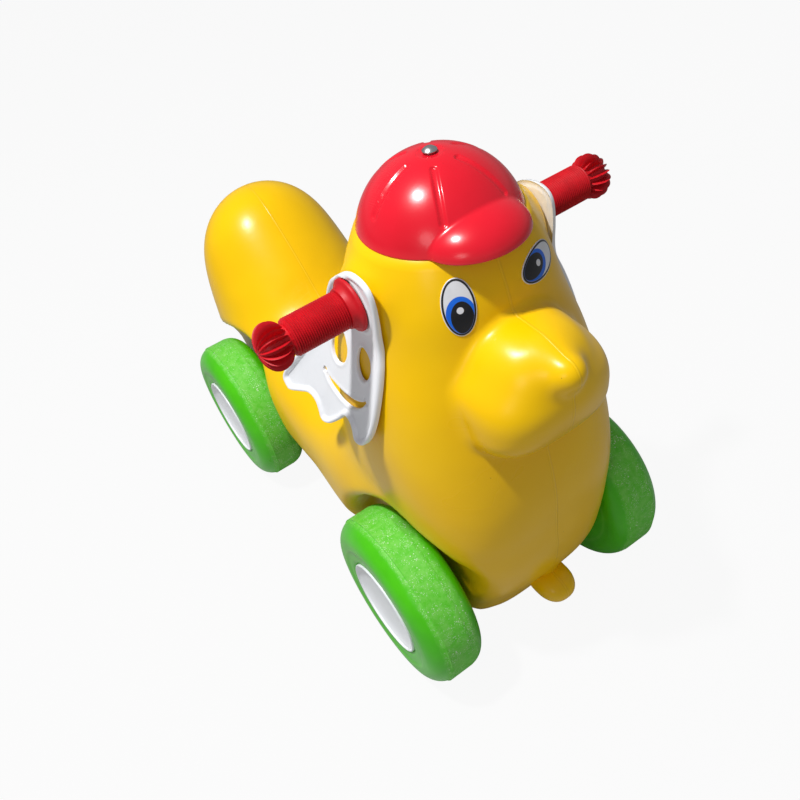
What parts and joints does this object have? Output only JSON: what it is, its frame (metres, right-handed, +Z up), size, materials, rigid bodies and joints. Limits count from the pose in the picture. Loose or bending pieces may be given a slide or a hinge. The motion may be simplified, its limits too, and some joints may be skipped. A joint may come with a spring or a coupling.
{
  "type": "ride-on puppy toy",
  "caption": "Foot-to-floor ride-on toy shaped as a puppy, with a hollow moulded body, a cap, a handlebar with grips, swinging ears and wheels that turn.",
  "frame": {"origin": "on the floor under the middle of the overall length, on the middle plane", "axes": "+Z up, the puppy faces -Y, its axles and handlebar lie along X"},
  "size_m": [0.289, 0.5503, 0.4462],
  "materials": {
    "yellow_plastic": "blow-moulded polyethylene, satin gloss, lightly scuffed",
    "red_plastic": "injection-moulded, glossy",
    "red_grip": "soft ribbed grip",
    "green_plastic": "blow-moulded, glossy shoulders and a scuffed, frosted tread",
    "white_plastic": "injection-moulded, satin gloss",
    "eye_print": null,
    "tube_steel": "zinc plated",
    "screw_steel": "bright zinc plated"
  },
  "bodies": {
    "root": {"body_shell": "yellow_plastic", "cap": "red_plastic", "cap_screw": "screw_steel", "handlebar_tube": "tube_steel", "grip_right": "red_grip", "eye_sticker_right": "eye_print", "grip_left": "red_grip", "eye_sticker_left": "eye_print", "front_axle": "tube_steel", "axle_bush_front_right": "white_plastic", "washer_front_right": "screw_steel", "push_nut_front_right": "screw_steel", "axle_bush_front_left": "white_plastic", "washer_front_left": "screw_steel", "push_nut_front_left": "screw_steel", "rear_axle": "tube_steel", "axle_bush_rear_right": "white_plastic", "washer_rear_right": "screw_steel", "push_nut_rear_right": "screw_steel", "axle_bush_rear_left": "white_plastic", "washer_rear_left": "screw_steel", "push_nut_rear_left": "screw_steel"},
    "ear_right": {"ear_right": "white_plastic"},
    "ear_left": {"ear_left": "white_plastic"},
    "wheel_front_right": {"wheel_front_right": "green_plastic", "hub_cap_front_right": "white_plastic"},
    "wheel_front_left": {"wheel_front_left": "green_plastic", "hub_cap_front_left": "white_plastic"},
    "wheel_rear_right": {"wheel_rear_right": "green_plastic", "hub_cap_rear_right": "white_plastic"},
    "wheel_rear_left": {"wheel_rear_left": "green_plastic", "hub_cap_rear_left": "white_plastic"}
  },
  "joints": [
    {"name": "wheel_front_right_spin", "type": "hinge", "parent": "root", "child": "wheel_front_right", "pos_m": [-0.0998, -0.1655, 0.08], "axis": [1, 0, 0], "continuous": true},
    {"name": "wheel_front_left_spin", "type": "hinge", "parent": "root", "child": "wheel_front_left", "pos_m": [0.0998, -0.1655, 0.08], "axis": [1, 0, 0], "continuous": true},
    {"name": "wheel_rear_right_spin", "type": "hinge", "parent": "root", "child": "wheel_rear_right", "pos_m": [-0.0998, 0.1513, 0.08], "axis": [1, 0, 0], "continuous": true},
    {"name": "wheel_rear_left_spin", "type": "hinge", "parent": "root", "child": "wheel_rear_left", "pos_m": [0.0998, 0.1513, 0.08], "axis": [1, 0, 0], "continuous": true},
    {"name": "ear_right_swing", "type": "hinge", "parent": "root", "child": "ear_right", "pos_m": [-0.076, -0.1459, 0.367], "axis": [1, 0, 0], "range_deg": [-30, 30]},
    {"name": "ear_left_swing", "type": "hinge", "parent": "root", "child": "ear_left", "pos_m": [0.076, -0.1459, 0.367], "axis": [1, 0, 0], "range_deg": [-30, 30]}
  ]
}
